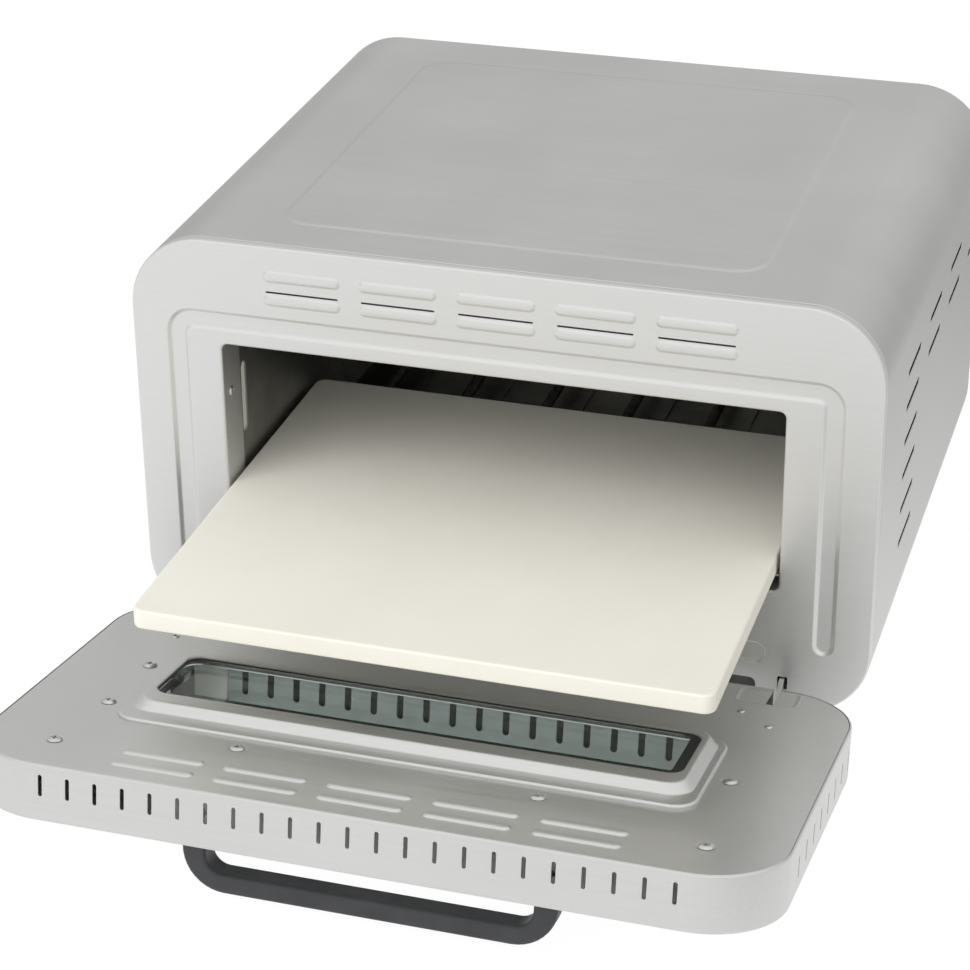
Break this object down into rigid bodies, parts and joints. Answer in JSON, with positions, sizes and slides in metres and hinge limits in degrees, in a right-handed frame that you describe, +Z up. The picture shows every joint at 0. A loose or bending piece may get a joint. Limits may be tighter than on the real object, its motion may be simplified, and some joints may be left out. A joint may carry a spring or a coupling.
{
  "type": "countertop pizza oven",
  "caption": "Box-shaped countertop pizza oven with a drop-down glazed door, a sliding baking stone and knobs on one side.",
  "frame": {"origin": "middle of the oven's box at rest, with the door open, on the surface it stands on", "axes": "+Z up, +Y from the door to the back, +X to the right seen from the front"},
  "size_m": [0.471, 0.6578, 0.2786],
  "materials": {
    "casing": "brushed, satin",
    "panel": "fine satin",
    "inner_sheet": "heat-dulled sheet",
    "zinc": "bright zinc",
    "door_panel": "fine satin",
    "baffle": "matt grey",
    "heater": "dark oxide",
    "glass": "clear, slightly grey",
    "gasket": "matt black",
    "stone": "fine matt ceramic stone",
    "ceramic": "unglazed",
    "blanket": "ceramic fibre",
    "handle": "fine grained",
    "knob": "fine grained",
    "foot": "matt",
    "control": "matt black",
    "lamp": "clear red",
    "copper": "drawn copper",
    "moulding": "heat-proof moulding"
  },
  "bodies": {
    "root": {"wrap_casing": "casing", "front_panel": "panel", "back_panel": "casing", "base_pan": "zinc", "feet": "foot", "foot_screws": "zinc", "casing_screws": "zinc", "cavity_sides": "inner_sheet", "cavity_top": "inner_sheet", "cavity_floor": "inner_sheet", "cavity_back": "inner_sheet", "cavity_legs": "zinc", "stone_rails": "zinc", "jamb_screws": "zinc", "upper_heater": "heater", "lower_heater": "heater", "heater_brackets": "zinc", "heater_terminals": "ceramic", "heat_shield": "zinc", "roof_blanket": "blanket", "vent_baffle": "baffle", "hinge_arms": "zinc", "arm_brackets": "zinc", "upper_thermostat": "zinc", "lower_thermostat": "zinc", "timer": "moulding", "control_plate": "control", "pilot_lamp": "lamp", "sensor_bulbs": "copper", "terminal_block": "moulding", "cord_gland": "handle"},
    "door": {"door_shell": "door_panel", "door_inner_panel": "door_panel", "window_frame": "door_panel", "window_gasket": "gasket", "window_inner_glass": "glass", "window_outer_glass": "glass", "glass_clips": "zinc", "door_baffle": "baffle", "door_screws": "zinc", "hinge_brackets": "zinc", "hinge_pins": "zinc", "hinge_screws": "zinc", "door_handle": "handle", "handle_screws": "zinc"},
    "stone": {"baking_stone": "stone"},
    "timer_knob": {"timer_knob": "knob", "timer_spindle": "zinc"},
    "lower_knob": {"lower_knob": "knob", "lower_spindle": "zinc"},
    "upper_knob": {"upper_knob": "knob", "upper_spindle": "zinc"}
  },
  "joints": [
    {"name": "door_hinge", "type": "hinge", "parent": "root", "child": "door", "pos_m": [0.0105, -0.07607, 0.024], "axis": [-1, 0, 0], "range_deg": [0, 80.23]},
    {"name": "stone_slide", "type": "slide", "parent": "root", "child": "stone", "axis": [0, 1, 0], "range_m": [0, 0.206]},
    {"name": "timer_knob_turn", "type": "hinge", "parent": "root", "child": "timer_knob", "pos_m": [-0.2145, 0.02093, 0.094], "axis": [1, 0, 0], "range_deg": [0, 330]},
    {"name": "lower_knob_turn", "type": "hinge", "parent": "root", "child": "lower_knob", "pos_m": [-0.2145, 0.02093, 0.144], "axis": [1, 0, 0], "range_deg": [0, 270]},
    {"name": "upper_knob_turn", "type": "hinge", "parent": "root", "child": "upper_knob", "pos_m": [-0.2145, 0.02093, 0.194], "axis": [1, 0, 0], "range_deg": [0, 270]}
  ],
  "couplings": [
    {"joint": "stone_slide", "follows": "door_hinge", "m_per_rad": 0.14711}
  ]
}
